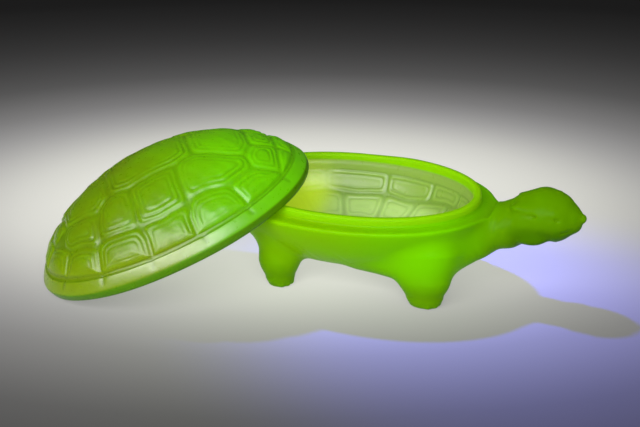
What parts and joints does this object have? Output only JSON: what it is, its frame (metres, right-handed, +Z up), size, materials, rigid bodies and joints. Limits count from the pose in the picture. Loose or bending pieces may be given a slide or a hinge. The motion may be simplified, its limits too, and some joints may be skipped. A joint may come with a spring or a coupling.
{
  "type": "covered glass dish",
  "caption": "Tortoise-shaped covered dish in satin uranium glass: a footed bowl with head and legs, its loose domed shell lid leaning on the rim.",
  "frame": {"origin": "on the table under the middle of the box round the whole dish, lid leaning", "axes": "+X along the bowl towards the head, +Y to the animal's left, +Z up"},
  "size_m": [0.2544, 0.1454, 0.0718],
  "materials": {
    "base_glass": "satin uranium glass, translucent, yellow-green",
    "lid_glass": "satin uranium glass, translucent, green"
  },
  "bodies": {
    "base": {"dish_base": "base_glass"},
    "lid": {"shell_lid": "lid_glass"}
  },
  "joints": [
    {"name": "lid_lift", "type": "slide", "parent": "base", "child": "lid", "axis": [0, 0, 1], "range_m": [0, 0.12]}
  ]
}
